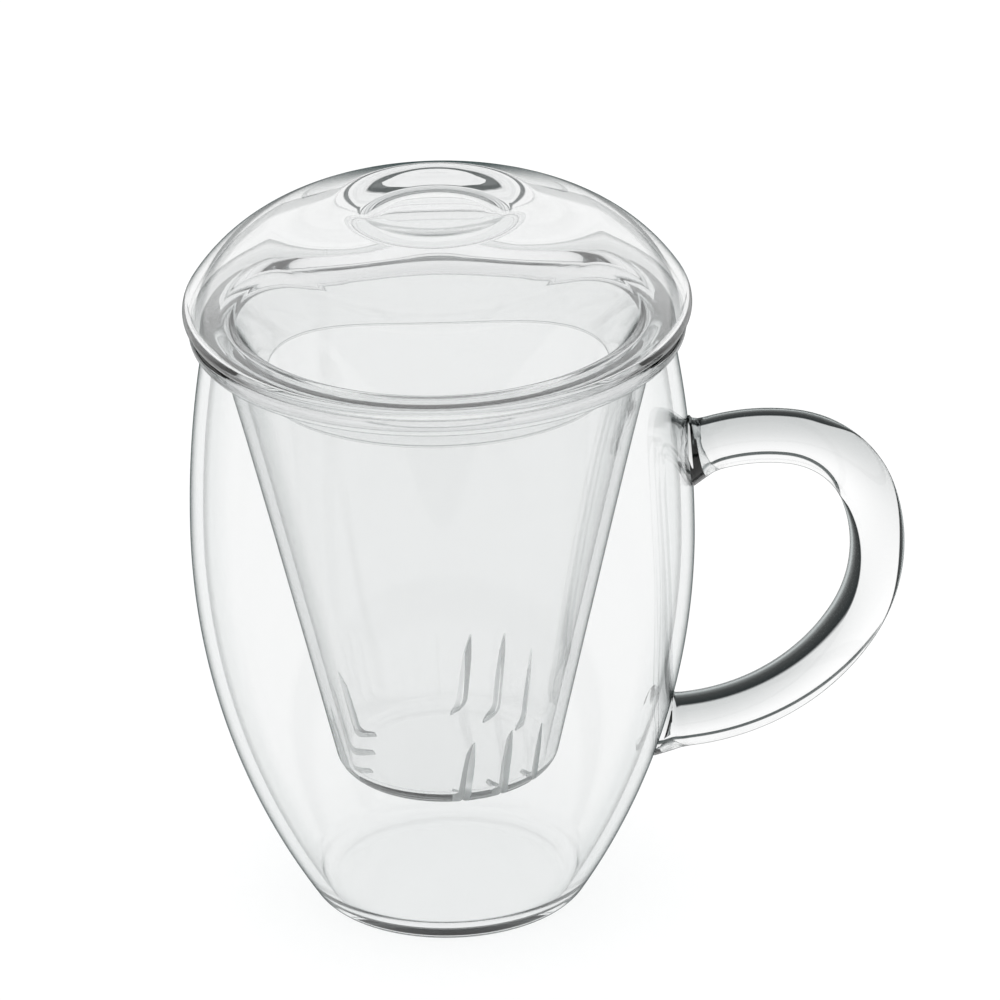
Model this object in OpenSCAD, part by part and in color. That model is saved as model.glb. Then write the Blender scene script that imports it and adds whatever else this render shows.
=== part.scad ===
// Glass tea mug with a drop-in glass infuser and a lift-off domed lid.
// All sizes are in millimetres. The mug stands on z = 0 with its axis on Z and its handle along +X.

/* [Cup] */
// Height of the cup from the table to its lip
cup_h = 104; // [95:1:112]
// Widest outer diameter of the barrel
cup_d = 85.6; // [82:0.2:90]
// Height of the widest ring of the barrel
belly_z = 68; // [60:1:72]
// How far the lip draws in from the widest ring, on each side
mouth_in = 3.2; // [2.4:0.1:4.4]
// Diameter of the flat standing face
base_d = 40.8; // [36:0.4:46]
// Radius of the round between the base and the wall
base_round = 4; // [2.5:0.5:5]
// Thickness of the blown wall
cup_wall = 2.2; // [1.8:0.1:2.6]
// Thickness of the floor at its edge
floor_t = 2.8; // [2.2:0.1:4]

/* [Handle] */
// Diameter of the solid glass rod
rod_d = 9.3; // [8:0.1:10.5]
// Height of the rod's upper end, which is welded into the wall
handle_z = 78.7; // [74:0.1:82]
// Diameter of the flared weld foot against the wall
foot_d = 12; // [11:0.2:14]

/* [Infuser] */
// Overall height of the infuser
infuser_h = 82.6; // [74:0.1:88]
// Slope of its wall from upright, in degrees
infuser_taper = 12.8; // [10:0.1:13.5]
// Thickness of its wall and floor
infuser_wall = 1.9; // [1.5:0.1:2.2]
// How far the flange that hangs on the lip reaches past it, on each side
flange_over = 2.3; // [1.8:0.1:3]
// Thickness of the flange
flange_t = 2.8; // [2.2:0.1:3.2]
// Outer radius between the wall and the floor
infuser_round = 3.5; // [3:0.5:5]

/* [Slits] */
// Number of slit groups round the infuser
slit_groups = 3; // [2:1:4]
// Width of each saw cut
slit_w = 1.1; // [0.8:0.1:1.6]
// Distance between neighbouring cuts in a group
slit_pitch = 6.6; // [5:0.1:7]
// Height to which the middle cut runs up the wall
slit_rise = 14.4; // [12:0.2:16]
// Direction of the first group, in degrees from the handle
slit_turn = 60; // [50:1:70]

/* [Lid] */
// How far the lid reaches past the flange, on each side
lid_over = 1; // [0.4:0.1:1.6]
// Thickness of the lid's wall at its rim and neck
lid_wall = 2; // [1.6:0.1:2.2]
// Height of the widest ring above the lid's seat
rim_h = 2.4; // [2.3:0.1:3.2]
// Radius of the ring-shaped crest round the finger dimple
crest_r = 15; // [14:0.5:17]
// Depth of the finger dimple
dimple_depth = 2.4; // [2:0.1:3]
// Thickness of the glass in the middle of the dimple
dimple_wall = 1.8; // [1.5:0.1:2.2]
// Length of the neck below the lid's seat
neck_h = 10.4; // [8:0.2:13]
// Slope of the neck from upright, in degrees
neck_taper = 29; // [26:0.5:34]

/* [Travel] */
// Gap between the infuser and the cup's mouth
mouth_gap = 0.7; // [0.5:0.1:1]
// Gap between the lid's neck and the infuser's mouth
neck_gap = 0.5; // [0.4:0.1:1]

/* [Hidden] */
$fn = 96;
glass = [0.84, 0.92, 0.92, 0.45];

// Points per round stretch of an outline
steps = 12;

// Cup
belly_r = cup_d / 2;
mouth_r = belly_r - mouth_in;
base_r = base_d / 2;
lip_r = cup_wall / 2;
// Half angle of the narrow flat ground on the lip, which the flange rests on
lip_land = 30;
lip_z = cup_h - lip_r * cos(lip_land);
upper_rise = lip_z - belly_z;
upper_R = (upper_rise ^ 2 + mouth_in ^ 2) / (2 * mouth_in);
upper_c = [belly_r - upper_R, belly_z];
upper_a = asin(upper_rise / (upper_R - lip_r));
lip_c = upper_c + (upper_R - lip_r) * [cos(upper_a), sin(upper_a)];
lower_drop = belly_z - base_round;
lower_in = belly_r - base_r;
lower_R = (lower_in ^ 2 + lower_drop ^ 2 - base_round ^ 2) / (2 * (lower_in - base_round));
lower_c = [belly_r - lower_R, belly_z];
lower_a = atan2(base_round - belly_z, base_r - lower_c.x);
// Inside of the cup: a softer corner and a floor that rises a little to its middle
floor_round = 6;
floor_rise = 0.6;
inner_R = lower_R - cup_wall;
inner_c = [
    lower_c.x + sqrt((inner_R - floor_round) ^ 2 - (belly_z - floor_t - floor_round) ^ 2),
    floor_t + floor_round
];
inner_a = atan2(inner_c.y - belly_z, inner_c.x - lower_c.x);
mouth_in_r = lip_c.x - lip_r;

// Handle: a chain of arcs in the plane y = 0, each [radius, turn], from the upper wall to the lower one
rod_r = rod_d / 2;
handle_heading = 31.6;
arm_R = 31.9;
shoulder_R = 16;
back_R = 29;
return_R = 38;
handle_bends = [[arm_R, 39.8], [shoulder_R, 63.6], [back_R, 49.7], [return_R, 51]];
// The weld feet: how far the rod's ends reach into the cup, and how far the flare runs along the rod
weld_depth = 4.4;
foot_len = 3.5;
handle_start = [cup_r(handle_z) - weld_depth, handle_z];
bend_end = bend_state(len(handle_bends))[0];
// The nearly straight tail runs from the last bend into the lower wall
tail_R = 200;
tail_run = bend_end.x - (cup_r(bend_end.y) - weld_depth);
handle_arcs = concat(handle_bends, [[tail_R, tail_run / tail_R * 180 / PI]]);
handle_len = arc_len(len(handle_arcs));
weld_headings = [wall_lean(handle_z), wall_lean(bend_end.y) - 180];
rod_sides = 24;
rod_rings = 48;

// Infuser
seat_z = cup_h + flange_t;
infuser_z = seat_z - infuser_h;
flange_r = mouth_r + flange_over;
flange_edge = flange_t / 2;
flange_fillet = 1;
flare_round = 3;
infuser_top_r = mouth_in_r - mouth_gap;
infuser_in_r = infuser_top_r - infuser_wall / cos(infuser_taper);
fillet_c = [tangent_x(infuser_top_r, infuser_taper, flange_fillet, 0), cup_h - flange_fillet];
flare_c = [
    tangent_x(infuser_in_r, infuser_taper, flare_round, flange_t),
    seat_z - flare_round
];
floor_c = [
    infuser_wall_r(infuser_z + infuser_round) - infuser_round / cos(infuser_taper),
    infuser_z + infuser_round
];

// Slits: thin saw discs that pass through the wall at slit_rise and come out through the floor.
// Their rims are ground thinner, so that the cuts end in points
saw_r = 25;
saw_bevel = 2.4;
saw_edge = slit_w / 4;
slit_floor_in = 5;
slit_high = [infuser_wall_r(infuser_z + slit_rise), infuser_z + slit_rise];
slit_low = [floor_c.x + infuser_round / 2 - slit_floor_in, infuser_z];
slit_chord = slit_high - slit_low;
slit_half = norm(slit_chord) / 2;
saw_c = (slit_high + slit_low) / 2
    + sqrt(saw_r ^ 2 - slit_half ^ 2) * [slit_chord.y, -slit_chord.x] / (2 * slit_half);
slits_per_group = 3;

// Lid
lid_r = flange_r + lid_over;
side_R = 3.3;
side_a = 31.8;
top_R = 30.3;
top_a = 67;
crest_R = 7;
wide_z = seat_z + rim_h;
rim_c = [lid_r - rim_h, wide_z];
side_c = [lid_r - side_R, wide_z];
top_c = side_c - (top_R - side_R) * [cos(side_a), sin(side_a)];
top_end = top_c + top_R * [cos(top_a), sin(top_a)];
// The straight crown runs from the top arc to the crest arc, along their common tangent
crown_run = top_end.x - (crest_r + crest_R * cos(top_a));
crown_end = top_end + crown_run * [-1, 1 / tan(top_a)];
crest_c = crown_end - crest_R * [cos(top_a), sin(top_a)];
dimple_sum = (crest_r ^ 2 + dimple_depth ^ 2) / (2 * dimple_depth);
dimple_R = dimple_sum - crest_R;
dimple_c = [0, crest_c.y + dimple_sum - dimple_depth];
dimple_a = atan2(dimple_sum - dimple_depth, crest_r);
// The underside is rounder than the outside, so the glass thickens toward the crest. It rises to a ridge
// round the dimple and bulges down below it
under_R = 24;
under_a = 74;
ridge_r = 10;
ridge_R = 8;
under_c = side_c - (under_R + lid_wall - side_R) * [cos(side_a), sin(side_a)];
under_end = under_c + under_R * [cos(under_a), sin(under_a)];
under_run = under_end.x - (ridge_r + ridge_R * cos(under_a));
ridge_c = under_end + under_run * [-1, 1 / tan(under_a)] - ridge_R * [cos(under_a), sin(under_a)];
bulge_z = crest_c.y + crest_R - dimple_depth - dimple_wall;
bulge_drop = ridge_c.y - bulge_z;
bulge_R = (ridge_r ^ 2 + bulge_drop ^ 2 - ridge_R ^ 2) / (2 * (ridge_R + bulge_drop));
bulge_c = [0, bulge_z + bulge_R];
bulge_a = atan2(bulge_c.y - ridge_c.y, ridge_r);
// The neck clears the rounded mouth of the infuser by neck_gap
neck_fillet = 1;
neck_top_r = flare_c.x - (flare_round + neck_gap
    - (seat_z - flare_c.y) * sin(neck_taper)) / cos(neck_taper);
neck_c = [tangent_x(neck_top_r, neck_taper, neck_fillet, 0), seat_z - neck_fillet];
neck_dir = [-sin(neck_taper), -cos(neck_taper)];
neck_out = [cos(neck_taper), -sin(neck_taper)];
neck_edge = lid_wall / 2;
neck_end_c = [neck_top_r, seat_z] + (neck_h - neck_edge) / cos(neck_taper) * neck_dir
    - neck_edge * neck_out;

// Points along an arc of radius r round c
function arc(c, r, from, to) =
    [for (i = [0:steps])
        let (a = from + (to - from) * i / steps)
        c + r * [cos(a), sin(a)]];

// Centre radius of a round of radius r that touches a sloped wall and a level that lies rise above its foot
function tangent_x(foot_r, taper, r, rise) = foot_r + (r + (rise - r) * sin(taper)) / cos(taper);

// Outer radius of the infuser's wall at height z
function infuser_wall_r(z) = infuser_top_r - (cup_h - z) * tan(infuser_taper);

// Outer radius of the cup at height z, above its base round
function cup_r(z) =
    let (R = z < belly_z ? lower_R : upper_R)
    belly_r - R + sqrt(R ^ 2 - (z - belly_z) ^ 2);

// Outward direction of the cup's wall at height z, in degrees above level
function wall_lean(z) = asin((z - belly_z) / (z < belly_z ? lower_R : upper_R));

// Length of the first n arcs of the handle
function arc_len(n) =
    n == 0
        ? 0
        : arc_len(n - 1) + handle_arcs[n - 1][0] * handle_arcs[n - 1][1] * PI / 180;

// Centre of an arc that starts at a state [point, heading]
function handle_centre(state, radius) = state[0] + radius * [sin(state[1]), -cos(state[1])];

// Point and heading after turning clockwise by a on a given radius
function handle_turn(state, radius, a) =
    [handle_centre(state, radius) + radius * [-sin(state[1] - a), cos(state[1] - a)], state[1] - a];

// Point and heading after the first n bends
function bend_state(n) =
    n == 0
        ? [handle_start, handle_heading]
        : handle_turn(bend_state(n - 1), handle_bends[n - 1][0], handle_bends[n - 1][1]);

// Point and heading at length s along the handle, looking from arc i on
function handle_state(s, i = 0) =
    i == len(handle_bends) || s <= arc_len(i + 1)
        ? handle_turn(bend_state(i), handle_arcs[i][0], (s - arc_len(i)) / handle_arcs[i][0] * 180 / PI)
        : handle_state(s, i + 1);

// Share of the weld flare at length s: 1 inside the walls, 0 along the plain rod
function weld_flare(s) =
    let (d = min(s, handle_len - s) - weld_depth)
    max(0, 1 - max(d, 0) / foot_len) ^ 2;

// Points of one ring of the rod, which turns flat against the wall as the rod flares
function rod_ring(s) =
    let (state = handle_state(s))
    let (flare = weld_flare(s))
    let (weld = weld_headings[s < handle_len / 2 ? 0 : 1])
    let (h = state[1] + (weld - state[1]) * flare)
    let (r = rod_r + (foot_d / 2 - rod_r) * flare)
    [for (k = [0:rod_sides - 1])
        let (q = r * [cos(360 * k / rod_sides), sin(360 * k / rod_sides)])
        [state[0].x - q.x * sin(h), q.y, state[0].y + q.x * cos(h)]];

// Outer outline of the cup from the middle of the base to the lip
function cup_outer() = concat(
    [[0, 0]],
    arc([base_r, base_round], base_round, -90, lower_a),
    arc(lower_c, lower_R, lower_a, 0),
    arc(upper_c, upper_R, 0, upper_a)
);

// Inner outline of the cup from the lip to the middle of the floor
function cup_inner() = concat(
    arc(upper_c, upper_R - cup_wall, upper_a, 0),
    arc(lower_c, inner_R, 0, inner_a),
    arc(inner_c, floor_round, inner_a, -90),
    [[0, floor_t + floor_rise]]
);

module cup() {
    color(glass)
    rotate_extrude()
    polygon(concat(
        cup_outer(),
        arc(lip_c, lip_r, upper_a, 90 - lip_land),
        arc(lip_c, lip_r, 90 + lip_land, 180 + upper_a),
        cup_inner()
    ));
}

// Everything inside the cup's outer surface
module cup_space() {
    rotate_extrude()
    polygon(concat(cup_outer(), [[0, lip_z]]));
}

// The bent rod with its flared ends, as one swept tube
module rod() {
    n = rod_sides;
    points = [for (i = [0:rod_rings]) each rod_ring(handle_len * i / rod_rings)];
    sides = [for (i = [0:rod_rings - 1], k = [0:n - 1])
        [i * n + k, i * n + (k + 1) % n, (i + 1) * n + (k + 1) % n, (i + 1) * n + k]];
    ends = [[for (k = [n - 1:-1:0]) k], [for (k = [0:n - 1]) rod_rings * n + k]];
    polyhedron(points, concat(sides, ends));
}

module handle() {
    color(glass)
    difference() {
        rod();
        cup_space();
    }
}

// Wall, floor and flange of the infuser before the slits are sawn
module infuser_body() {
    rotate_extrude()
    polygon(concat(
        [[0, infuser_z]],
        arc(floor_c, infuser_round, -90, -infuser_taper),
        arc(fillet_c, flange_fillet, 180 - infuser_taper, 90),
        arc([flange_r - flange_edge, cup_h + flange_edge], flange_edge, -90, 90),
        arc(flare_c, flare_round, 90, 180 - infuser_taper),
        arc(floor_c, infuser_round - infuser_wall, -infuser_taper, -90),
        [[0, infuser_z + infuser_wall]]
    ));
}

// One saw disc, offset sideways within its group
module saw_disc(side) {
    translate([saw_c.x, side, saw_c.y])
    rotate([90, 0, 0])
    rotate_extrude()
    polygon([
        [0, -slit_w / 2],
        [saw_r - saw_bevel, -slit_w / 2],
        [saw_r, -saw_edge / 2],
        [saw_r, saw_edge / 2],
        [saw_r - saw_bevel, slit_w / 2],
        [0, slit_w / 2]
    ]);
}

module infuser() {
    color(glass)
    difference() {
        infuser_body();
        for (g = [0:slit_groups - 1])
            rotate([0, 0, slit_turn + 360 * g / slit_groups])
            for (s = [0:slits_per_group - 1])
                saw_disc((s - (slits_per_group - 1) / 2) * slit_pitch);
    }
}

module lid() {
    color(glass)
    rotate_extrude()
    polygon(concat(
        arc(neck_end_c, neck_edge, -180 - neck_taper, -neck_taper),
        arc(neck_c, neck_fillet, 180 - neck_taper, 90),
        arc(rim_c, rim_h, -90, 0),
        arc(side_c, side_R, 0, side_a),
        arc(top_c, top_R, side_a, top_a),
        arc(crest_c, crest_R, top_a, 180 - dimple_a),
        arc(dimple_c, dimple_R, -dimple_a, -90),
        arc(bulge_c, bulge_R, -90, -bulge_a),
        arc(ridge_c, ridge_R, 180 - bulge_a, under_a),
        arc(under_c, under_R, under_a, side_a),
        arc(side_c, side_R - lid_wall, side_a, 0),
        arc(rim_c, rim_h - lid_wall, 0, -90),
        arc(neck_c, neck_fillet + lid_wall, 90, 180 - neck_taper)
    ));
}

cup();
handle();
infuser();
lid();
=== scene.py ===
"""Dresses a glass tea mug, its infuser and its lid in clear blown glass, on a white studio floor."""

import math

import bmesh
import bpy
from mathutils import Matrix, Vector


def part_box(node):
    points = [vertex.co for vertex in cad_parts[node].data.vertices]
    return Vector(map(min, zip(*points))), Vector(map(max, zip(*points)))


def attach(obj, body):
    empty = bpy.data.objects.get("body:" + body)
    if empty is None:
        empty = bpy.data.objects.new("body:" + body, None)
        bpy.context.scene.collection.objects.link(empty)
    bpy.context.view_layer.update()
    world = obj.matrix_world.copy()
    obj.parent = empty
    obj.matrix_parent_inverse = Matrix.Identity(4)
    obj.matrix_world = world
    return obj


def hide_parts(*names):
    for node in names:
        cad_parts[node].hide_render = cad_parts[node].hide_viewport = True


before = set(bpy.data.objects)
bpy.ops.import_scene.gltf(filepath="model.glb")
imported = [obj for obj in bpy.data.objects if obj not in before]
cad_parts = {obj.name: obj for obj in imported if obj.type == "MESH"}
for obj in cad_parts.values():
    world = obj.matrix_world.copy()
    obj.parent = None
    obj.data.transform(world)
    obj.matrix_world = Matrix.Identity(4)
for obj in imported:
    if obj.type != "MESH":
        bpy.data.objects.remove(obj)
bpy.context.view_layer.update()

bl_info = {
    "name": "Glass Tea Mug",
    "version": (1, 0, 0),
    "blender": (4, 5, 0),
    "location": "View3D > Sidebar > Tea Mug",
    "description": "Models a glass tea mug with its infuser and lid, and a white studio round it",
    "category": "Add Mesh",
}

MM = 0.001
QUARTER = math.pi / 2
WHITE = (1, 1, 1)
# Pixels across the photograph, and pixels to a millimetre at the mug
PHOTO_WIDTH = 1000
PHOTO_SCALE = 5.9


def half_width(node):
    """Outer radius of a round CAD node, measured across the handle's direction"""
    low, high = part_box(node)
    return (high.y - low.y) / 2


CUP_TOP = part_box("cup")[1].z
INFUSER_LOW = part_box("infuser")[0].z
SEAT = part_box("infuser")[1].z
LID_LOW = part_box("lid")[0].z


def length(name, description, default):
    """A length in metres"""
    return bpy.props.FloatProperty(
        name=name, description=description, default=default, min=0, unit="LENGTH", precision=5
    )


def angle(name, description, degrees):
    """An angle, stored in radians"""
    return bpy.props.FloatProperty(
        name=name, description=description, default=math.radians(degrees), subtype="ANGLE"
    )


def colour(name, description, default):
    """A linear colour"""
    return bpy.props.FloatVectorProperty(
        name=name, description=description, default=default, min=0, max=1, subtype="COLOR"
    )


def number(name, description, default):
    """A plain number"""
    return bpy.props.FloatProperty(name=name, description=description, default=default)


class CupSizes(bpy.types.PropertyGroup):
    """Sizes of the blown cup"""

    top: length("Lip height", "Height of the lip above the table", CUP_TOP)
    belly: length("Belly radius", "Widest outer radius", half_width("cup"))
    belly_height: length("Belly height", "Height of the widest ring", 68 * MM)
    mouth_in: length("Mouth draw-in", "How far the lip draws in from the belly", 3.2 * MM)
    base: length("Base radius", "Radius of the flat standing face", 20.4 * MM)
    base_round: length("Base round", "Radius between the base and the wall", 4 * MM)
    wall: length("Wall", "Thickness of the wall", 2.2 * MM)
    floor: length("Floor", "Thickness of the floor at its edge", 2.8 * MM)
    floor_round: length("Floor round", "Inner radius between the floor and the wall", 6 * MM)
    floor_rise: length("Floor rise", "How far the floor rises to its middle", 0.6 * MM)


class HandleSizes(bpy.types.PropertyGroup):
    """Sizes of the bent glass rod"""

    rod: length("Rod radius", "Radius of the glass rod", 4.65 * MM)
    top: length("Upper end", "Height of the rod's upper end", 78.7 * MM)
    heading: angle("Heading", "Slope of the rod where it leaves the upper wall", 31.6)
    reach: length("Reach into the cup", "Depth of the rod's ends below the cup's outer face", 4.4 * MM)
    sink: length("Weld depth", "How deep the weld runs into the wall", 1.2 * MM)
    foot: length("Foot radius", "Radius of the weld foot", 6 * MM)
    foot_run: length("Foot run", "Length over which the rod flares to the foot", 3.5 * MM)


class InfuserSizes(bpy.types.PropertyGroup):
    """Sizes of the infuser"""

    bottom: length("Bottom", "Height of its underside in the cup", INFUSER_LOW)
    seat: length("Seat", "Height of the flange's upper face", SEAT)
    flange: length("Flange radius", "Outer radius of the flange", half_width("infuser"))
    wall: length("Wall", "Thickness of the wall and the floor", 1.9 * MM)
    taper: angle("Taper", "Slope of the wall from upright", 12.8)
    gap: length("Mouth gap", "Gap between the wall and the cup's mouth", 0.7 * MM)
    edge_round: length("Bottom round", "Outer radius between the wall and the floor", 3.5 * MM)
    fillet: length("Fillet", "Radius under the flange", 1 * MM)
    flare: length("Flare", "Radius from the flange into the mouth", 3 * MM)
    slit: length("Slit width", "Width of each saw cut", 1.1 * MM)
    slit_pitch: length("Slit pitch", "Distance between neighbouring cuts", 6.6 * MM)
    slit_rise: length("Slit rise", "Height of the cuts up the wall", 14.4 * MM)
    slit_floor: length("Slit run", "How far the cuts run in under the floor", 5 * MM)
    saw: length("Saw radius", "Radius of the saw that cut the slits", 25 * MM)
    saw_bevel: length("Saw bevel", "Width of the saw's thinner rim", 2.4 * MM)
    slit_turn: angle("Slit turn", "Direction of the first group from the handle", 60)


class LidSizes(bpy.types.PropertyGroup):
    """Sizes of the domed lid"""

    rim: length("Rim radius", "Widest radius of the lid", half_width("lid"))
    rim_height: length("Rim height", "Height of the widest ring above the seat", 2.4 * MM)
    wall: length("Wall", "Thickness of the wall at the rim and the neck", 2 * MM)
    side: length("Side radius", "Radius of the shoulder above the rim", 3.3 * MM)
    side_turn: angle("Side turn", "Where the shoulder runs into the dome", 31.8)
    dome: length("Dome radius", "Radius of the dome", 30.3 * MM)
    dome_turn: angle("Dome turn", "Where the dome runs into the crown", 67)
    crest: length("Crest radius", "Distance of the crest from the middle", 15 * MM)
    crest_round: length("Crest round", "Radius of the crest's own round", 7 * MM)
    dimple: length("Dimple depth", "Depth of the finger dimple", 2.4 * MM)
    dimple_wall: length("Dimple wall", "Thickness in the middle of the dimple", 1.8 * MM)
    under: length("Underside radius", "Radius of the dome's underside", 24 * MM)
    under_turn: angle("Underside turn", "Where the underside runs straight up to its ridge", 74)
    ridge: length("Ridge radius", "Distance of the underside's ridge from the middle", 10 * MM)
    ridge_round: length("Ridge round", "Radius of the ridge's own round", 8 * MM)
    neck: length("Neck length", "Length of the neck below the seat", SEAT - LID_LOW)
    neck_taper: angle("Neck taper", "Slope of the neck from upright", 29)
    neck_gap: length("Neck gap", "Gap between the neck and the infuser's mouth", 0.5 * MM)
    neck_fillet: length("Neck fillet", "Radius between the seat and the neck", 1 * MM)


class GlassLook(bpy.types.PropertyGroup):
    """Finish of the glass, with painted shade on its walls and rod"""

    clear: colour("Clear", "Tint of the glass seen square on", (0.968, 0.97, 0.97))
    # Painted shade: the edge colour and the two places after it tint the walls dark where they are seen edge
    # on
    edge: colour("Edge", "Tint of the glass seen edge on", (0.06, 0.085, 0.085))
    bend: number("Refraction", "Refractive index of borosilicate glass", 1.474)
    painted_edge_start: number("Wall edge start", "Where thin walls start to darken, 0 square on, 1 edge on", 0.76)
    painted_edge_end: number("Wall edge end", "Where thin walls are darkest", 0.985)
    # Painted shade: a soft grey zone inside the outline of the cup and of the infuser, and where it begins
    cup_painted_shade: colour("Cup grey", "Tint of the soft zone inside the cup's outline", (0.89, 0.9, 0.9))
    infuser_painted_shade: colour("Infuser grey", "Tint of that zone on the infuser", (0.8, 0.81, 0.81))
    painted_shade_start: number("Grey start", "Where that soft zone begins", 0.5)
    # Painted shade: the rod's upper side is tinted darker, from where its face starts to look up
    rod: colour("Rod", "Tint of the thick rod's upper side", (0.6, 0.615, 0.615))
    rod_painted_shade_start: number("Rod start", "Where that tint begins, 0 facing down and 1 facing up", 0.3)
    # Painted dark bands along the rod's edges: the colour where they begin, and their softness
    rod_painted_band_inner: colour("Rod edge", "Tint where the thick rod's dark edges begin", (0.02, 0.026, 0.027))
    rod_painted_band_blur: number("Rod edge blur", "Softness of the rod's dark edges", 0.05)
    shadow: colour("Shadow", "Tint of the light that falls through the glass", (0.93, 0.95, 0.95))
    sawn_dark: colour("Sawn dark", "Darker tint in the grain of the sawn faces", (0.9, 0.91, 0.91))
    sawn_light: colour("Sawn light", "Lighter tint in that grain", WHITE)
    sawn_grain: number("Sawn grain", "Fineness of that grain", 2500)
    sawn_rough: number("Sawn roughness", "Roughness of the sawn faces", 0.5)
    sawn_clear: number("Sawn clearness", "Share of the light that the sawn faces let through", 0.8)


class StageLook(bpy.types.PropertyGroup):
    """Camera, floor and light"""

    elevation: angle("Elevation", "Camera's angle above the horizon", 25.8)
    roll: angle("Roll", "Camera's roll", -1.26)
    distance: length("Distance", "Distance from the camera to the mug", 2.0)
    frame_width: length("Frame width", "Width of the view at the mug", PHOTO_WIDTH / PHOTO_SCALE * MM)
    aim_x: length("Aim X", "How far the camera looks beside the cup's axis", 9.85 * MM)
    aim_z: length("Aim Z", "Height of the point that the camera looks at", 72.35 * MM)
    near: length("Near limit", "Nearest distance that the camera sees", 0.05)
    floor: colour("Floor", "Colour of the floor", WHITE)
    floor_radius: length("Floor radius", "Radius of the floor", 7.0)
    floor_glow: number("Floor glow", "Share of the floor's white that is its own light", 0.76)
    horizon: colour("Horizon", "Colour of the dark screen round the floor", (0.06, 0.075, 0.075))
    horizon_deep: colour("Deep horizon", "Paler colour of that screen, deep in the glass", (0.4, 0.43, 0.43))
    deep_faces: number("Deep faces", "Glass faces that a ray passes before that screen is paler", 2.5)
    horizon_top: number("Horizon top", "Height of the dark screen, as the sine of its angle", 0.115)
    blur: number("Blur", "Softness of the screen's upper edge", 0.02)
    lamp_height: length("Lamp height", "Height of the softbox", 1.4)
    lamp_width: length("Lamp width", "Width of the round softbox", 0.9)
    lamp_power: number("Lamp power", "Power of the softbox in watts", 6)


class TeaMug(bpy.types.PropertyGroup):
    """All settings of the mug and its studio"""

    cup: bpy.props.PointerProperty(type=CupSizes)
    handle: bpy.props.PointerProperty(type=HandleSizes)
    infuser: bpy.props.PointerProperty(type=InfuserSizes)
    lid: bpy.props.PointerProperty(type=LidSizes)
    glass: bpy.props.PointerProperty(type=GlassLook)
    stage: bpy.props.PointerProperty(type=StageLook)


# Outlines
SPIN_STEPS = 192
# Longest step along an arc, as an angle and as a length, and the fewest steps in one
ARC_STEP = math.radians(2)
ARC_RUN = 1.2 * MM
ARC_FEWEST = 4
LINE_RUN = 2 * ARC_RUN
# Points of an outline closer than this count as one
SAME_POINT = 0.02 * MM


def polar(radius, turn):
    """The point at a radius and angle in the plane of an outline"""
    return Vector((radius * math.cos(turn), radius * math.sin(turn)))


def arc(centre, radius, start, end):
    """Points along an arc, close enough for smooth glass"""
    sweep = abs(end - start)
    count = max(ARC_FEWEST, math.ceil(sweep / ARC_STEP), math.ceil(sweep * radius / ARC_RUN))
    return [centre + polar(radius, start + (end - start) * i / count) for i in range(count + 1)]


def line(start, end):
    """Points along a straight stretch, without its two ends"""
    count = max(1, math.ceil((end - start).length / LINE_RUN))
    return [start.lerp(end, i / count) for i in range(1, count)]


def chained(*stretches):
    """One outline from several stretches, with straight runs filled in between them"""
    points = []
    for stretch in stretches:
        if points:
            points += line(points[-1], stretch[0])
        points += stretch
    clean = points[:1]
    for point in points[1:]:
        if (point - clean[-1]).length > SAME_POINT:
            clean.append(point)
    return clean


class CupShape:
    """Arcs of the cup, worked out from its sizes"""

    def __init__(self, cup):
        self.cup = cup
        self.lip_round = cup.wall / 2
        self.lip_turn = math.radians(30)
        lip_z = cup.top - self.lip_round * math.cos(self.lip_turn)
        rise = lip_z - cup.belly_height
        self.upper = (rise**2 + cup.mouth_in**2) / (2 * cup.mouth_in)
        self.upper_centre = Vector((cup.belly - self.upper, cup.belly_height))
        self.upper_end = math.asin(rise / (self.upper - self.lip_round))
        self.lip_centre = self.upper_centre + polar(self.upper - self.lip_round, self.upper_end)
        drop = cup.belly_height - cup.base_round
        draw = cup.belly - cup.base
        self.lower = (draw**2 + drop**2 - cup.base_round**2) / (2 * (draw - cup.base_round))
        self.lower_centre = Vector((cup.belly - self.lower, cup.belly_height))
        self.lower_end = math.atan2(-drop, cup.base - self.lower_centre.x)
        self.inner = self.lower - cup.wall
        corner_z = cup.floor + cup.floor_round
        across = math.sqrt((self.inner - cup.floor_round) ** 2 - (cup.belly_height - corner_z) ** 2)
        self.corner = Vector((self.lower_centre.x + across, corner_z))
        self.inner_end = math.atan2(corner_z - cup.belly_height, across)
        self.mouth = self.lip_centre.x - self.lip_round

    def radius(self, height):
        """Outer radius of the wall at a height"""
        bow = self.lower if height < self.cup.belly_height else self.upper
        return self.cup.belly - bow + math.sqrt(bow**2 - (height - self.cup.belly_height) ** 2)

    def lean(self, height):
        """Direction in which the wall faces at a height, above level"""
        bow = self.lower if height < self.cup.belly_height else self.upper
        return math.asin((height - self.cup.belly_height) / bow)

    def outline(self):
        """From the middle of the base, up the outside, over the lip and down to the middle of the floor"""
        cup = self.cup
        return chained(
            [Vector((0, 0))],
            arc(Vector((cup.base, cup.base_round)), cup.base_round, -QUARTER, self.lower_end),
            arc(self.lower_centre, self.lower, self.lower_end, 0),
            arc(self.upper_centre, self.upper, 0, self.upper_end),
            arc(self.lip_centre, self.lip_round, self.upper_end, QUARTER - self.lip_turn),
            arc(self.lip_centre, self.lip_round, QUARTER + self.lip_turn, math.pi + self.upper_end),
            arc(self.upper_centre, self.upper - cup.wall, self.upper_end, 0),
            arc(self.lower_centre, self.inner, 0, self.inner_end),
            arc(self.corner, cup.floor_round, self.inner_end, -QUARTER),
            [Vector((0, cup.floor + cup.floor_rise))],
        )


# Air left between two glass faces that rest on each other
CONTACT = 0.03 * MM


def tangent_x(foot, taper, radius, rise):
    """Centre of a round that touches a sloped wall and a level that lies rise above the wall's foot"""
    return foot + (radius + (rise - radius) * math.sin(taper)) / math.cos(taper)


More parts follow.
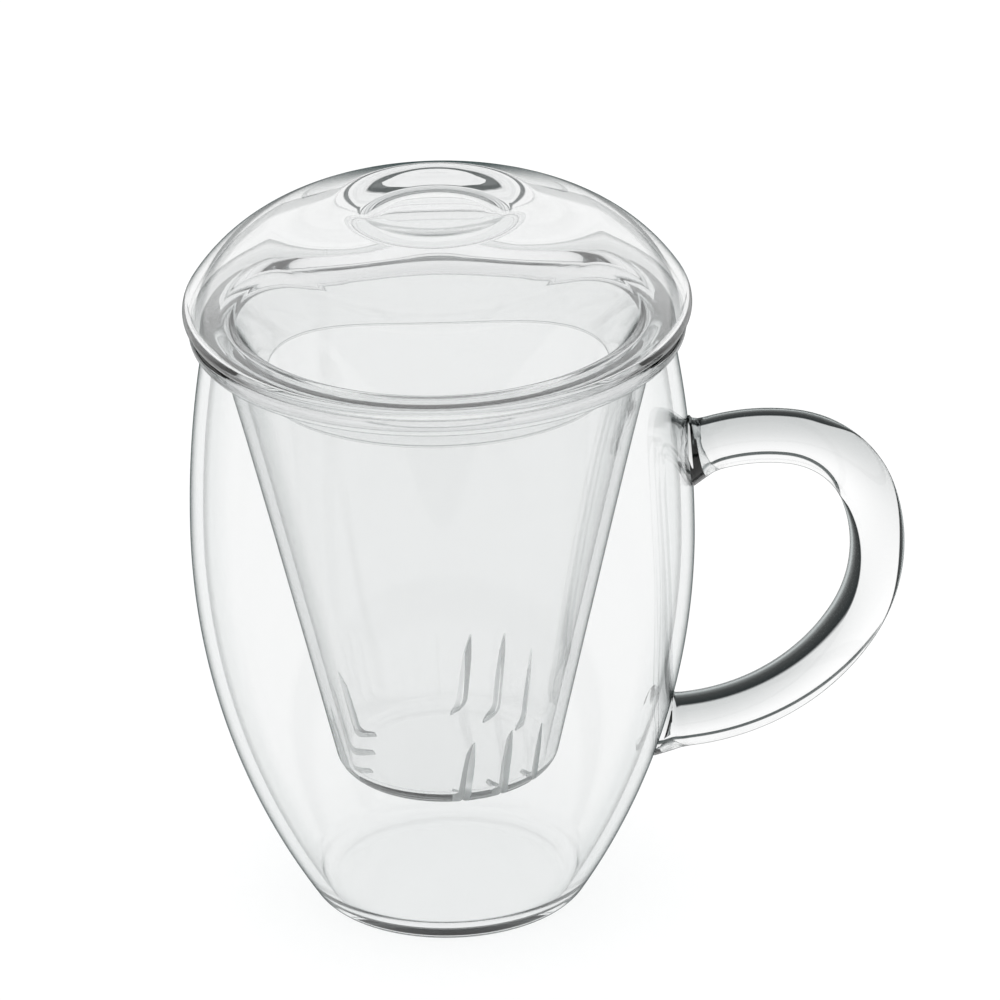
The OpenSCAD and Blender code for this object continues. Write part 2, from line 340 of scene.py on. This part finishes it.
class InfuserShape:
    """Arcs of the infuser, worked out from its sizes and the cup's mouth"""

    def __init__(self, infuser, cup_shape):
        self.infuser = infuser
        self.lip = cup_shape.cup.top
        self.thick = infuser.seat - self.lip - 2 * CONTACT
        self.top = cup_shape.mouth - infuser.gap
        inside = self.top - infuser.wall / math.cos(infuser.taper)
        self.fillet = Vector((
            tangent_x(self.top, infuser.taper, infuser.fillet, 0),
            self.lip + CONTACT - infuser.fillet,
        ))
        self.flare = Vector((
            tangent_x(inside, infuser.taper, infuser.flare, self.thick),
            infuser.seat - CONTACT - infuser.flare,
        ))
        corner_z = infuser.bottom + infuser.edge_round
        self.corner = Vector((
            self.radius(corner_z) - infuser.edge_round / math.cos(infuser.taper),
            corner_z,
        ))

    def radius(self, height):
        """Outer radius of the wall at a height"""
        return self.top - (self.lip - height) * math.tan(self.infuser.taper)

    def outline(self):
        """From the middle of the underside, up the outside, round the flange and down the inside"""
        infuser = self.infuser
        edge = self.thick / 2
        rim = Vector((infuser.flange - edge, self.lip + CONTACT + edge))
        return chained(
            [Vector((0, infuser.bottom))],
            arc(self.corner, infuser.edge_round, -QUARTER, -infuser.taper),
            arc(self.fillet, infuser.fillet, math.pi - infuser.taper, QUARTER),
            arc(rim, edge, -QUARTER, QUARTER),
            arc(self.flare, infuser.flare, QUARTER, math.pi - infuser.taper),
            arc(self.corner, infuser.edge_round - infuser.wall, -infuser.taper, -QUARTER),
            [Vector((0, infuser.bottom + infuser.wall))],
        )

    def saw_centre(self):
        """Centre of the saw disc, in the plane of the wall's outline"""
        infuser = self.infuser
        high_z = infuser.bottom + infuser.slit_rise
        high = Vector((self.radius(high_z), high_z))
        low = Vector((self.corner.x + infuser.edge_round / 2 - infuser.slit_floor, infuser.bottom))
        chord = high - low
        across = Vector((chord.y, -chord.x)).normalized()
        return (high + low) / 2 + across * math.sqrt(infuser.saw**2 - chord.length_squared / 4)


def ridge_centre(centre, radius, turn, ridge, ridge_round):
    """Centre of the round that a straight run from the end of an arc leads to"""
    end = centre + polar(radius, turn)
    run = end.x - (ridge + ridge_round * math.cos(turn))
    return end + run * Vector((-1, 1 / math.tan(turn))) - polar(ridge_round, turn)


def bowl(ridge, ridge_round, depth):
    """Centre, radius and edge angle of the bowl inside a ring-shaped ridge"""
    span = (ridge.x**2 + depth**2) / (2 * depth)
    return Vector((0, ridge.y + span - depth)), span - ridge_round, math.atan2(span - depth, ridge.x)


def lid_outline(lid, infuser_shape):
    """From the middle of the dimple, over the dome and the rim, round the neck and back up the inside"""
    seat = infuser_shape.infuser.seat
    wide = seat + lid.rim_height
    rim = Vector((lid.rim - lid.rim_height, wide))
    side = Vector((lid.rim - lid.side, wide))
    dome = side - polar(lid.dome - lid.side, lid.side_turn)
    crest = ridge_centre(dome, lid.dome, lid.dome_turn, lid.crest, lid.crest_round)
    dimple, dimple_radius, dimple_turn = bowl(crest, lid.crest_round, lid.dimple)
    under = side - polar(lid.under + lid.wall - lid.side, lid.side_turn)
    ridge = ridge_centre(under, lid.under, lid.under_turn, lid.ridge, lid.ridge_round)
    low = crest.y + lid.crest_round - lid.dimple - lid.dimple_wall
    bulge, bulge_radius, bulge_turn = bowl(ridge, lid.ridge_round, ridge.y + lid.ridge_round - low)
    flare, flare_round = infuser_shape.flare, infuser_shape.infuser.flare
    drop = (seat - flare.y) * math.sin(lid.neck_taper)
    neck_top = flare.x - (flare_round + lid.neck_gap - drop) / math.cos(lid.neck_taper)
    neck = Vector((tangent_x(neck_top, lid.neck_taper, lid.neck_fillet, 0), seat - lid.neck_fillet))
    edge = lid.wall / 2
    down = -polar(1, QUARTER - lid.neck_taper)
    outward = polar(1, -lid.neck_taper)
    run = (lid.neck - edge) / math.cos(lid.neck_taper)
    neck_end = Vector((neck_top, seat)) + run * down - edge * outward
    return chained(
        arc(dimple, dimple_radius, -QUARTER, -dimple_turn),
        arc(crest, lid.crest_round, math.pi - dimple_turn, lid.dome_turn),
        arc(dome, lid.dome, lid.dome_turn, lid.side_turn),
        arc(side, lid.side, lid.side_turn, 0),
        arc(rim, lid.rim_height, 0, -QUARTER),
        arc(neck, lid.neck_fillet, QUARTER, math.pi - lid.neck_taper),
        arc(neck_end, edge, -lid.neck_taper, -math.pi - lid.neck_taper),
        arc(neck, lid.neck_fillet + lid.wall, math.pi - lid.neck_taper, QUARTER),
        arc(rim, lid.rim_height - lid.wall, -QUARTER, 0),
        arc(side, lid.side - lid.wall, 0, lid.side_turn),
        arc(under, lid.under, lid.side_turn, lid.under_turn),
        arc(ridge, lid.ridge_round, lid.under_turn, math.pi - bulge_turn),
        arc(bulge, bulge_radius, -bulge_turn, -QUARTER),
    )


# Modelling
MERGE = 0.001 * MM
SMOOTH_ANGLE = math.radians(28)


def only(piece):
    """Selects one object and makes it active"""
    bpy.ops.object.select_all(action="DESELECT")
    piece.select_set(True)
    bpy.context.view_layer.objects.active = piece


def tidy_mesh():
    """Merges doubles and turns all faces outwards, in edit mode"""
    bpy.ops.mesh.select_all(action="SELECT")
    bpy.ops.mesh.remove_doubles(threshold=MERGE)
    bpy.ops.mesh.normals_make_consistent(inside=False)


def lathe(name, outline):
    """Draws an outline by extruding a point along it, and spins it into a closed body"""
    bpy.ops.object.select_all(action="DESELECT")
    bpy.ops.mesh.primitive_plane_add(size=MM)
    piece = bpy.context.object
    piece.name = piece.data.name = name
    bpy.ops.object.mode_set(mode="EDIT")
    bpy.ops.mesh.merge(type="CENTER")
    here = Vector((0, 0))
    for i, point in enumerate(outline):
        step = point - here
        move = {"value": (step.x, 0, step.y)}
        if i == 0:
            bpy.ops.transform.translate(**move)
        else:
            bpy.ops.mesh.extrude_region_move(TRANSFORM_OT_translate=move)
        here = point
    bpy.ops.mesh.select_all(action="SELECT")
    bpy.ops.mesh.spin(steps=SPIN_STEPS, angle=2 * math.pi, center=(0, 0, 0), axis=(0, 0, 1))
    tidy_mesh()
    bpy.ops.object.mode_set(mode="OBJECT")
    return piece


def combine(piece, tool, operation):
    """Adds a second object to a piece or cuts it away, and deletes it"""
    only(piece)
    bpy.ops.object.modifier_add(type="BOOLEAN")
    modifier = piece.modifiers[-1]
    modifier.operation = operation
    modifier.solver = "EXACT"
    modifier.material_mode = "TRANSFER"
    modifier.object = tool
    bpy.ops.object.modifier_apply(modifier=modifier.name)
    mesh = tool.data
    bpy.data.objects.remove(tool)
    bpy.data.meshes.remove(mesh)


def finish_piece(piece, body, *nodes):
    """Smooths a piece, hands it to its body and lets it stand for its CAD nodes"""
    only(piece)
    bpy.ops.object.shade_smooth_by_angle(angle=SMOOTH_ANGLE)
    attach(piece, body)
    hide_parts(*nodes)


# Rod of the handle
ROD_SIDES = 64
ROD_STEP = 1.2 * MM
# Bends of the rod from the upper wall to the lower one, each a radius and a turn in degrees
ROD_BENDS = ((31.9 * MM, 39.8), (16 * MM, 63.6), (29 * MM, 49.7), (38 * MM, 51))
# Radius of the last, nearly straight run into the lower wall
TAIL_BEND = 200 * MM


def turned(point, heading, radius, turn):
    """Point, heading and centre after a clockwise bend"""
    centre = point + polar(radius, heading - QUARTER)
    heading = heading - turn
    return centre + polar(radius, heading + QUARTER), heading, centre


def pick_ring(rod, middle, ahead, reach):
    """Selects the ring of a rod that lies square to a direction at a point, in edit mode"""
    bpy.ops.mesh.select_all(action="DESELECT")
    mesh = bmesh.from_edit_mesh(rod.data)
    for vertex in mesh.verts:
        away = vertex.co - middle
        vertex.select_set(abs(away @ ahead) < MERGE and away.length < reach)
    mesh.select_flush_mode()
    bmesh.update_edit_mesh(rod.data)


def rod_path(handle, cup_shape):
    """Where the rod starts and heads, its bends from there, and how the wall faces at both ends"""
    depth = handle.reach - handle.sink
    start = Vector((cup_shape.radius(handle.top) - handle.reach, handle.top))
    first_radius, first_turn = ROD_BENDS[0]
    skipped = depth / math.cos(handle.heading) / first_radius
    point, heading, _ = turned(start, handle.heading, first_radius, skipped)
    bends = [(first_radius, math.radians(first_turn) - skipped)]
    bends += [(radius, math.radians(turn)) for radius, turn in ROD_BENDS[1:]]
    end, end_heading = point, heading
    for radius, turn in bends:
        end, end_heading, _ = turned(end, end_heading, radius, turn)
    tail = end.x - (cup_shape.radius(end.y) - handle.sink)
    bends.append((TAIL_BEND, tail / TAIL_BEND))
    faces = (cup_shape.lean(point.y), cup_shape.lean(end.y) - math.pi)
    return point, heading, bends, faces


def swept_circle(name, size, point, heading, bends):
    """Spins a circle through bends, stays in edit mode and lists each ring's run, middle and heading"""
    bpy.ops.object.select_all(action="DESELECT")
    bpy.ops.mesh.primitive_circle_add(vertices=ROD_SIDES, radius=size)
    rod = bpy.context.object
    rod.name = rod.data.name = name
    bpy.ops.object.mode_set(mode="EDIT")
    square_to_x = Matrix.Rotation(QUARTER, 4, "Y")
    start = Matrix.Translation((point.x, 0, point.y)) @ Matrix.Rotation(-heading, 4, "Y") @ square_to_x
    bmesh.from_edit_mesh(rod.data).transform(start)
    rings = [(0.0, point, heading)]
    for radius, turn in bends:
        steps = max(1, round(radius * turn / ROD_STEP))
        run = rings[-1][0]
        for i in range(1, steps + 1):
            place, facing, centre = turned(point, heading, radius, turn * i / steps)
            rings.append((run + radius * turn * i / steps, place, facing))
        bpy.ops.mesh.spin(steps=steps, angle=turn, center=(centre.x, 0, centre.y), axis=(0, -1, 0))
        point, heading = place, facing
    return rod, rings


def flare_ends(rod, rings, handle, faces):
    """Swells and tilts the rings near both ends into weld feet, in edit mode"""
    whole = rings[-1][0]
    for run, place, facing in rings:
        far = max(0, min(run, whole - run) - handle.sink)
        flare = max(0, 1 - far / handle.foot_run) ** 2
        if flare == 0:
            continue
        middle = Vector((place.x, 0, place.y))
        ahead = Vector((math.cos(facing), 0, math.sin(facing)))
        pick_ring(rod, middle, ahead, 2 * handle.rod)
        swell = 1 + (handle.foot / handle.rod - 1) * flare
        bpy.ops.transform.resize(value=(swell,) * 3, center_override=middle)
        tilt = (faces[run > whole / 2] - facing) * flare
        bpy.ops.transform.rotate(value=tilt, orient_axis="Y", center_override=middle)


def bent_rod(name, handle, cup_shape):
    """Bends the rod, flares its ends into weld feet and closes them"""
    point, heading, bends, faces = rod_path(handle, cup_shape)
    rod, rings = swept_circle(name, handle.rod, point, heading, bends)
    flare_ends(rod, rings, handle, faces)
    bpy.ops.mesh.select_all(action="SELECT")
    bpy.ops.mesh.remove_doubles(threshold=MERGE)
    bpy.ops.mesh.fill_holes(sides=0)
    tidy_mesh()
    bpy.ops.object.mode_set(mode="OBJECT")
    return rod


# Finishes
def fresh_material(name):
    """An empty node material"""
    material = bpy.data.materials.new(name)
    material.use_nodes = True
    material.node_tree.nodes.clear()
    return material, material.node_tree


def clear_finish(name, look):
    """Clear borosilicate glass with a pale shadow, and the socket for its tint and painted shade"""
    material, tree = fresh_material(name)
    nodes, links = tree.nodes, tree.links
    output = nodes.new("ShaderNodeOutputMaterial")
    glass = nodes.new("ShaderNodeBsdfGlass")
    glass.inputs["IOR"].default_value = look.bend
    glass.inputs["Roughness"].default_value = 0.0
    thin = nodes.new("ShaderNodeBsdfTransparent")
    thin.inputs["Color"].default_value = (*look.shadow, 1)
    path = nodes.new("ShaderNodeLightPath")
    mix = nodes.new("ShaderNodeMixShader")
    links.new(path.outputs["Is Shadow Ray"], mix.inputs["Fac"])
    links.new(glass.outputs["BSDF"], mix.inputs[1])
    links.new(thin.outputs["BSDF"], mix.inputs[2])
    links.new(mix.outputs["Shader"], output.inputs["Surface"])
    return material, tree, glass.inputs["Color"]


def edge_on(tree):
    """0 where the glass is seen square on and 1 where it is seen edge on"""
    weight = tree.nodes.new("ShaderNodeLayerWeight")
    weight.inputs["Blend"].default_value = 0.5
    return weight.outputs["Facing"]


def stepped(tree, value, start, end, first, second):
    """A soft step from one colour to another"""
    ramp = tree.nodes.new("ShaderNodeValToRGB")
    ramp.color_ramp.interpolation = "EASE"
    ramp.color_ramp.elements[0].position = start
    ramp.color_ramp.elements[0].color = (*first, 1)
    ramp.color_ramp.elements[1].position = end
    ramp.color_ramp.elements[1].color = (*second, 1)
    tree.links.new(value, ramp.inputs["Fac"])
    return ramp.outputs["Color"]


def wall_finish(name, look, grey):
    """A thin blown wall with painted shade: dark where it is seen edge on, with a soft grey zone inside its
    outline
    """
    material, tree, tint = clear_finish(name, look)
    # Painted shade: clear square on, then a grey zone, then a dark outline edge on
    tone = stepped(tree, edge_on(tree), look.painted_edge_start, look.painted_edge_end, grey, look.edge)
    tone.node.color_ramp.elements.new(look.painted_shade_start).color = (*look.clear, 1)
    tree.links.new(tone, tint)
    return material


def cup_glass(look):
    """The cup's tall wall, with a painted grey zone and dark outline"""
    return wall_finish("cup_glass", look, look.cup_painted_shade)


def infuser_glass(look):
    """The infuser's wall, seen through the cup's, with a darker painted grey zone"""
    return wall_finish("infuser_glass", look, look.infuser_painted_shade)


def lid_glass(look):
    """The domed lid, clear up to its painted dark outline"""
    return wall_finish("lid_glass", look, look.clear)


# Attribute that holds where the rod's painted bands and painted upper shade fall
ROD_SHADE = "rod_shade"
# Direction of the rod's side whose painted dark bands are widest, and how far a face turns that way from
# plain to fully dark
PAINTED_BAND_SIDE = Vector((-0.6, 0, 0.8))
PAINTED_BAND_TURN = (0.1, 0.5)
# Heights at which the upper arm ends and the lower arm begins
UPPER_ARM_END = 75 * MM
LOWER_ARM_START = 50 * MM
# Where the rod's painted dark band begins, 0 square on and 1 edge on, on its plain sides and on its side
# with wide painted bands
LEVEL_EDGE = 0.8
UPRIGHT_EDGE = 0.45
UPPER_DARK_EDGE = 0.27
LOWER_DARK_EDGE = 0.1
# Upward or downward part of the normal past which a face counts as level
LEVEL_TILT = 0.5
# Tones across the rod's painted dark band, each a place from its inner line to the outline and a tone of red
ROD_PAINTED_BAND = ((0.28, 0.07), (0.42, 0.2), (0.56, 0.55), (0.8, 0.3), (0.98, 0.12))
# Green and blue of those tones as a share of their red
ROD_PAINTED_BAND_COOL = 1.06


def eased(value, start, end):
    """0 before the start, 1 past the end, and a soft step between"""
    part = min(1, max(0, (value - start) / (end - start)))
    return part * part * (3 - 2 * part)


def between(first, second, part):
    """The value that lies a part of the way from the first to the second"""
    return first + (second - first) * part


def rod_shade(vertex):
    """Where the rod's painted dark band begins, 0 square on and 1 edge on, and how far its face looks up,
    for its painted upper shade
    """
    upright = eased(-abs(vertex.normal.z), -LEVEL_TILT, 0)
    plain = between(LEVEL_EDGE, UPRIGHT_EDGE, upright)
    lower_arm = eased(-vertex.co.z, -UPPER_ARM_END, -LOWER_ARM_START)
    dark = between(UPPER_DARK_EDGE, LOWER_DARK_EDGE, lower_arm)
    painted_band_side = eased(vertex.normal @ PAINTED_BAND_SIDE, *PAINTED_BAND_TURN)
    return between(plain, dark, painted_band_side), 0.5 + vertex.normal.z / 2, 0


def mixed(tree, share, first, second):
    """A mix of two colours, each an output of a node or a fixed colour"""
    mix = tree.nodes.new("ShaderNodeMix")
    mix.data_type = "RGBA"
    tree.links.new(share, mix.inputs["Factor"])
    for name, tone in (("A", first), ("B", second)):
        if isinstance(tone, bpy.types.NodeSocket):
            tree.links.new(tone, mix.inputs[name])
        else:
            mix.inputs[name].default_value = (*tone, 1)
    return mix.outputs["Result"]


def rod_glass(look):
    """The handle's solid rod, with painted dark bands along its edges in place of those that thick glass
    shows, and painted shade on its upper side
    """
    material, tree, tint = clear_finish("rod_glass", look)
    nodes, links = tree.nodes, tree.links
    shade = nodes.new("ShaderNodeAttribute")
    shade.attribute_name = ROD_SHADE
    split = nodes.new("ShaderNodeSeparateXYZ")
    links.new(shade.outputs["Vector"], split.inputs["Vector"])
    full = nodes.new("ShaderNodeMath")
    full.operation = "ADD"
    full.inputs[1].default_value = look.rod_painted_band_blur
    links.new(split.outputs["X"], full.inputs[0])
    # Mask of the painted dark band: where the rod is seen edge on past the stored start
    edge = nodes.new("ShaderNodeMapRange")
    edge.interpolation_type = "SMOOTHSTEP"
    links.new(edge_on(tree), edge.inputs["Value"])
    links.new(split.outputs["X"], edge.inputs["From Min"])
    links.new(full.outputs["Value"], edge.inputs["From Max"])
    within = nodes.new("ShaderNodeMapRange")
    links.new(edge_on(tree), within.inputs["Value"])
    links.new(split.outputs["X"], within.inputs["From Min"])
    # Painted dark band, from its inner line out to the outline
    painted_band = nodes.new("ShaderNodeValToRGB")
    painted_band.color_ramp.elements[0].color = (*look.rod_painted_band_inner, 1)
    for place, tone in ROD_PAINTED_BAND:
        cool = ROD_PAINTED_BAND_COOL * tone
        painted_band.color_ramp.elements.new(place).color = (tone, cool, cool, 1)
    painted_band.color_ramp.elements.remove(painted_band.color_ramp.elements[-1])
    links.new(within.outputs["Result"], painted_band.inputs["Fac"])
    # Painted shade: faces that look up are tinted darker, on the near side only
    body = stepped(tree, split.outputs["Y"], look.rod_painted_shade_start, 1, WHITE, look.rod)
    outside = mixed(tree, edge.outputs["Result"], body, painted_band.outputs["Color"])
    side = nodes.new("ShaderNodeNewGeometry")
    links.new(mixed(tree, side.outputs["Backfacing"], outside, look.clear), tint)
    return material


def sawn_glass(look):
    """Frosted faces left by the saw in the slits"""
    material, tree = fresh_material("sawn_glass")
    nodes, links = tree.nodes, tree.links
    output = nodes.new("ShaderNodeOutputMaterial")
    frost = nodes.new("ShaderNodeBsdfPrincipled")
    frost.inputs["Roughness"].default_value = look.sawn_rough
    frost.inputs["Transmission Weight"].default_value = look.sawn_clear
    frost.inputs["IOR"].default_value = look.bend
    place = nodes.new("ShaderNodeTexCoord")
    grain = nodes.new("ShaderNodeTexNoise")
    grain.inputs["Scale"].default_value = look.sawn_grain
    ramp = nodes.new("ShaderNodeValToRGB")
    ramp.color_ramp.elements[0].color = (*look.sawn_dark, 1)
    ramp.color_ramp.elements[1].color = (*look.sawn_light, 1)
    links.new(place.outputs["Object"], grain.inputs["Vector"])
    links.new(grain.outputs["Fac"], ramp.inputs["Fac"])
    links.new(ramp.outputs["Color"], frost.inputs["Base Color"])
    links.new(frost.outputs["BSDF"], output.inputs["Surface"])
    return material


FINISHES = (cup_glass, infuser_glass, lid_glass, rod_glass, sawn_glass)


def finish_named(name, look):
    """The finish of that name, made the first time it is asked for"""
    makers = {maker.__name__: maker for maker in FINISHES}
    return bpy.data.materials.get(name) or makers[name](look)


class TEAMUG_OT_mug(bpy.types.Operator):
    """Model the blown cup and weld its rod handle on"""

    bl_idname = "tea_mug.mug"
    bl_label = "Cup and Handle"

    def execute(self, context):
        mug = context.scene.tea_mug
        shape = CupShape(mug.cup)
        cup = lathe("mug_glass", shape.outline())
        rod = bent_rod("handle_rod", mug.handle, shape)
        cup.data.materials.append(finish_named("cup_glass", mug.glass))
        rod.data.materials.append(finish_named("rod_glass", mug.glass))
        combine(cup, rod, "UNION")
        self.store_shade(cup.data)
        finish_piece(cup, "mug", "cup", "handle")
        return {"FINISHED"}

    def store_shade(self, mesh):
        """Stores where the rod's painted bands and shade fall on the joined mesh, because the union drops a
        point attribute
        """
        shade = mesh.attributes.new(ROD_SHADE, "FLOAT_VECTOR", "POINT")
        for vertex, value in zip(mesh.vertices, shade.data):
            value.vector = rod_shade(vertex)


class TEAMUG_OT_infuser(bpy.types.Operator):
    """Model the infuser and saw its slits"""

    bl_idname = "tea_mug.infuser"
    bl_label = "Infuser"

    groups = 3
    slits = 3
    # Thickness of the saw's rim as a share of the whole saw's
    rim_share = 0.25

    def execute(self, context):
        mug = context.scene.tea_mug
        sizes = mug.infuser
        shape = InfuserShape(sizes, CupShape(mug.cup))
        infuser = lathe("infuser_glass", shape.outline())
        infuser.data.materials.append(finish_named("infuser_glass", mug.glass))
        combine(infuser, self.saws(sizes, shape.saw_centre(), mug.glass), "DIFFERENCE")
        finish_piece(infuser, "strainer", "infuser")
        return {"FINISHED"}

    def saws(self, sizes, centre, look):
        """All the saw discs as one object"""
        half = sizes.slit / 2
        rim = [Vector((sizes.saw - sizes.saw_bevel, half)), Vector((sizes.saw, self.rim_share * half))]
        under = [Vector((point.x, -point.y)) for point in reversed(rim)]
        outline = [Vector((0, half)), *rim, *under, Vector((0, -half))]
        upright = Matrix.Rotation(QUARTER, 4, "X")
        discs = []
        for i in range(self.groups * self.slits):
            group, slit = divmod(i, self.slits)
            aside = (slit - (self.slits - 1) / 2) * sizes.slit_pitch
            turn = Matrix.Rotation(sizes.slit_turn + 2 * math.pi * group / self.groups, 4, "Z")
            disc = lathe("saw", outline)
            disc.matrix_world = turn @ Matrix.Translation((centre.x, aside, centre.y)) @ upright
            discs.append(disc)
        bpy.ops.object.select_all(action="DESELECT")
        for disc in discs:
            disc.select_set(True)
        bpy.ops.object.join()
        saws = bpy.context.object
        saws.data.materials.append(finish_named("sawn_glass", look))
        return saws


class TEAMUG_OT_lid(bpy.types.Operator):
    """Model the blown lid with its dimple and neck"""

    bl_idname = "tea_mug.lid"
    bl_label = "Lid"

    def execute(self, context):
        mug = context.scene.tea_mug
        seat = InfuserShape(mug.infuser, CupShape(mug.cup))
        lid = lathe("lid_glass", lid_outline(mug.lid, seat))
        lid.data.materials.append(finish_named("lid_glass", mug.glass))
        finish_piece(lid, "cover", "lid")
        return {"FINISHED"}


class TEAMUG_OT_stage(bpy.types.Operator):
    """Set up the floor, the light and the camera"""

    bl_idname = "tea_mug.stage"
    bl_label = "Studio"

    glass_bounces = 40
    mirror_bounces = 12
    floor_sides = 128

    def execute(self, context):
        stage = context.scene.tea_mug.stage
        self.settings(context.scene)
        self.floor(stage)
        self.world(context.scene, stage)
        self.lamp(stage)
        self.camera(context.scene, stage)
        return {"FINISHED"}

    def settings(self, scene):
        """Plain colours, and enough bounces for light to cross every wall of glass"""
        scene.view_settings.view_transform = "Standard"
        scene.cycles.max_bounces = self.glass_bounces
        scene.cycles.transmission_bounces = self.glass_bounces
        scene.cycles.glossy_bounces = self.mirror_bounces
        scene.cycles.transparent_max_bounces = self.glass_bounces

    def shown(self, tree):
        """1 for rays from the camera, from a mirror or through glass"""
        path = tree.nodes.new("ShaderNodeLightPath")
        total = None
        for kind in ("Is Camera Ray", "Is Glossy Ray", "Is Transmission Ray"):
            if total is None:
                total = path.outputs[kind]
                continue
            join = tree.nodes.new("ShaderNodeMath")
            join.operation = "MAXIMUM"
            tree.links.new(total, join.inputs[0])
            tree.links.new(path.outputs[kind], join.inputs[1])
            total = join.outputs["Value"]
        return total

    def floor(self, stage):
        """A wide white floor that keeps the mug's shadow"""
        bpy.ops.object.select_all(action="DESELECT")
        bpy.ops.mesh.primitive_circle_add(
            vertices=self.floor_sides,
            radius=stage.floor_radius,
            fill_type="NGON",
            location=(0, 0, -CONTACT),
        )
        floor = bpy.context.object
        floor.name = "studio_floor"
        material, tree = fresh_material("studio_floor")
        nodes, links = tree.nodes, tree.links
        output = nodes.new("ShaderNodeOutputMaterial")
        paint = nodes.new("ShaderNodeBsdfDiffuse")
        paint.inputs["Color"].default_value = (*stage.floor, 1)
        glow = nodes.new("ShaderNodeEmission")
        glow.inputs["Color"].default_value = (*stage.floor, 1)
        links.new(self.shown(tree), glow.inputs["Strength"])
        mix = nodes.new("ShaderNodeMixShader")
        mix.inputs["Fac"].default_value = stage.floor_glow
        links.new(paint.outputs["BSDF"], mix.inputs[1])
        links.new(glow.outputs["Emission"], mix.inputs[2])
        links.new(mix.outputs["Shader"], output.inputs["Surface"])
        floor.data.materials.append(material)

    def world(self, scene, stage):
        """White to the camera, and a low dark screen under a white ceiling to every other ray"""
        world = bpy.data.worlds.new("studio")
        scene.world = world
        world.use_nodes = True
        tree = world.node_tree
        nodes, links = tree.nodes, tree.links
        nodes.clear()
        output = nodes.new("ShaderNodeOutputWorld")
        place = nodes.new("ShaderNodeTexCoord")
        split = nodes.new("ShaderNodeSeparateXYZ")
        sky = nodes.new("ShaderNodeMapRange")
        sky.inputs["From Min"].default_value = stage.horizon_top - stage.blur
        sky.inputs["From Max"].default_value = stage.horizon_top + stage.blur
        links.new(place.outputs["Generated"], split.inputs["Vector"])
        links.new(split.outputs["Z"], sky.inputs["Value"])
        path = nodes.new("ShaderNodeLightPath")
        deep = nodes.new("ShaderNodeMath")
        deep.operation = "GREATER_THAN"
        deep.inputs[1].default_value = stage.deep_faces
        links.new(path.outputs["Transmission Depth"], deep.inputs[0])
        screen = mixed(tree, deep.outputs["Value"], stage.horizon, stage.horizon_deep)
        room = nodes.new("ShaderNodeBackground")
        links.new(mixed(tree, sky.outputs["Result"], screen, WHITE), room.inputs["Color"])
        white = nodes.new("ShaderNodeBackground")
        white.inputs["Color"].default_value = (*WHITE, 1)
        mix = nodes.new("ShaderNodeMixShader")
        links.new(path.outputs["Is Camera Ray"], mix.inputs["Fac"])
        links.new(room.outputs["Background"], mix.inputs[1])
        links.new(white.outputs["Background"], mix.inputs[2])
        links.new(mix.outputs["Shader"], output.inputs["Surface"])

    def lamp(self, stage):
        """One wide softbox overhead"""
        bpy.ops.object.light_add(type="AREA", location=(0, 0, stage.lamp_height))
        lamp = bpy.context.object
        lamp.name = "softbox"
        lamp.data.shape = "DISK"
        lamp.data.size = stage.lamp_width
        lamp.data.energy = stage.lamp_power
        lamp.visible_glossy = False
        lamp.visible_transmission = False

    def camera(self, scene, stage):
        """The photograph's view, from a long lens"""
        aim = Vector((stage.aim_x, 0, stage.aim_z))
        back = Vector((0, -math.cos(stage.elevation), math.sin(stage.elevation)))
        bpy.ops.object.camera_add()
        camera = bpy.context.object
        camera.name = "photo_camera"
        look = (-back).to_track_quat("-Z", "Y").to_matrix().to_4x4()
        roll = Matrix.Rotation(stage.roll, 4, "Z")
        camera.matrix_world = Matrix.Translation(aim + back * stage.distance) @ look @ roll
        camera.data.lens = camera.data.sensor_width * stage.distance / stage.frame_width
        camera.data.clip_start = stage.near
        scene.camera = camera


class TEAMUG_PT_sidebar(bpy.types.Panel):
    """Lists the mug's pieces and its studio"""

    bl_idname = "TEAMUG_PT_sidebar"
    bl_label = "Glass Tea Mug"
    bl_space_type = "VIEW_3D"
    bl_region_type = "UI"
    bl_category = "Tea Mug"

    def draw(self, context):
        for operator in OPERATORS:
            self.layout.operator(operator.bl_idname)


OPERATORS = (TEAMUG_OT_mug, TEAMUG_OT_infuser, TEAMUG_OT_lid, TEAMUG_OT_stage)
GROUPS = (CupSizes, HandleSizes, InfuserSizes, LidSizes, GlassLook, StageLook, TeaMug)
CLASSES = (*GROUPS, *OPERATORS, TEAMUG_PT_sidebar)


def register():
    """Adds the classes and the settings to Blender"""
    for cls in CLASSES:
        bpy.utils.register_class(cls)
    bpy.types.Scene.tea_mug = bpy.props.PointerProperty(type=TeaMug)


def unregister():
    """Takes the settings and the classes out again"""
    del bpy.types.Scene.tea_mug
    for cls in reversed(CLASSES):
        bpy.utils.unregister_class(cls)


def main():
    """Builds the pieces and the studio"""
    register()
    bpy.ops.tea_mug.mug()
    bpy.ops.tea_mug.infuser()
    bpy.ops.tea_mug.lid()
    bpy.ops.tea_mug.stage()


if __name__ == "__main__":
    main()
